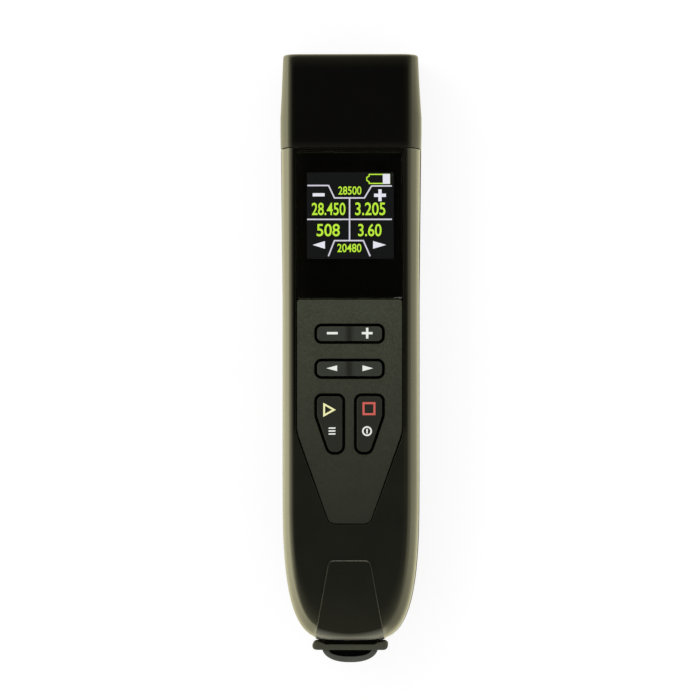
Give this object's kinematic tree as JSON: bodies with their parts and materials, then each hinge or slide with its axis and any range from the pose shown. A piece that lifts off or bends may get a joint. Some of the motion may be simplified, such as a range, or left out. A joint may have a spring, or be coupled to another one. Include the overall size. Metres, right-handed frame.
{
  "type": "antenna analyzer",
  "caption": "Handheld stick-shaped antenna analyzer: display window, key panel, aerial socket under a push-on cap, and a rubber cover over its USB port.",
  "frame": {"origin": "under the middle of the object's bounding box, on the plane that its back lies on", "axes": "+Y along the stick towards the aerial connector, +Z out of the display, +X to the right of the display"},
  "size_m": [0.0432, 0.185, 0.036],
  "materials": {
    "graphite_plastic": "satin black, finely grained",
    "cap_plastic": "satin black",
    "panel_plastic": "textured graphite",
    "window_acrylic": "polished, printed black behind",
    "key_rubber": "matt",
    "carbon_pill": "matt carbon",
    "keypad_silicone": "matt",
    "circuit_board": "green solder mask",
    "chip_epoxy": "moulded",
    "display_glass": "polished",
    "bright_steel": "tinned",
    "flex_film": "amber film",
    "header_nylon": "moulded",
    "cell_sleeve": "shrink sleeve",
    "cradle_plastic": "moulded",
    "contact_nickel": "nickel plated",
    "screw_steel": "black zinc",
    "connector_nickel": "nickel plated brass",
    "insulator_ptfe": "turned",
    "pin_gold": "gold plated",
    "cover_rubber": "matt"
  },
  "bodies": {
    "case": {"front_shell": "graphite_plastic", "rear_shell": "graphite_plastic", "key_panel": "panel_plastic", "display_window": "window_acrylic", "keypad_mat": "keypad_silicone", "lcd_module": "display_glass", "lcd_frame": "bright_steel", "lcd_flex": "flex_film", "main_board": "circuit_board", "processor_chip": "chip_epoxy", "board_header": "header_nylon", "radio_board": "circuit_board", "shield_can": "bright_steel", "battery_cell": "cell_sleeve", "battery_cradle": "cradle_plastic", "battery_plus_contact": "contact_nickel", "battery_minus_contact": "contact_nickel", "battery_door": "graphite_plastic", "case_screw_1": "screw_steel", "case_screw_2": "screw_steel", "case_screw_3": "screw_steel", "case_screw_4": "screw_steel", "board_screw_1": "screw_steel", "board_screw_2": "screw_steel", "board_screw_3": "screw_steel", "radio_screw_1": "screw_steel", "radio_screw_2": "screw_steel", "radio_screw_3": "screw_steel", "radio_screw_4": "screw_steel", "door_screw_1": "screw_steel", "door_screw_2": "screw_steel", "connector_body": "connector_nickel", "connector_insulator": "insulator_ptfe", "connector_pin": "pin_gold", "connector_washer": "connector_nickel", "connector_nut": "connector_nickel", "usb_shell": "bright_steel", "usb_tongue": "header_nylon", "cover_tether": "cover_rubber"},
    "cap": {"connector_cap": "cap_plastic"},
    "zoom": {"zoom_rocker": "key_rubber", "zoom_out_pill": "carbon_pill", "zoom_in_pill": "carbon_pill"},
    "cursor": {"cursor_rocker": "key_rubber", "cursor_left_pill": "carbon_pill", "cursor_right_pill": "carbon_pill"},
    "run": {"run_key": "key_rubber", "run_pill": "carbon_pill"},
    "stop": {"stop_key": "key_rubber", "stop_pill": "carbon_pill"},
    "cover": {"port_cover": "cover_rubber"}
  },
  "joints": [
    {"name": "cap_pull", "type": "slide", "parent": "case", "child": "cap", "axis": [0, 1, 0], "range_m": [0, 0.045]},
    {"name": "zoom_rocker_tilt", "type": "hinge", "parent": "case", "child": "zoom", "pos_m": [0, 0.0072, 0.03305], "axis": [0, 1, 0], "range_deg": [-3.5, 3.5], "stiffness_Nm_per_rad": 0.2},
    {"name": "cursor_rocker_tilt", "type": "hinge", "parent": "case", "child": "cursor", "pos_m": [0, -0.0034, 0.03305], "axis": [0, 1, 0], "range_deg": [-3.5, 3.5], "stiffness_Nm_per_rad": 0.2},
    {"name": "run_key_press", "type": "slide", "parent": "case", "child": "run", "axis": [0, 0, -1], "range_m": [0, 0.0005], "stiffness_N_per_m": 2000},
    {"name": "stop_key_press", "type": "slide", "parent": "case", "child": "stop", "axis": [0, 0, -1], "range_m": [0, 0.0005], "stiffness_N_per_m": 2000},
    {"name": "port_cover_swing", "type": "hinge", "parent": "case", "child": "cover", "pos_m": [0, -0.0884, 0.0189], "axis": [1, 0, 0], "range_deg": [0, 120]}
  ]
}
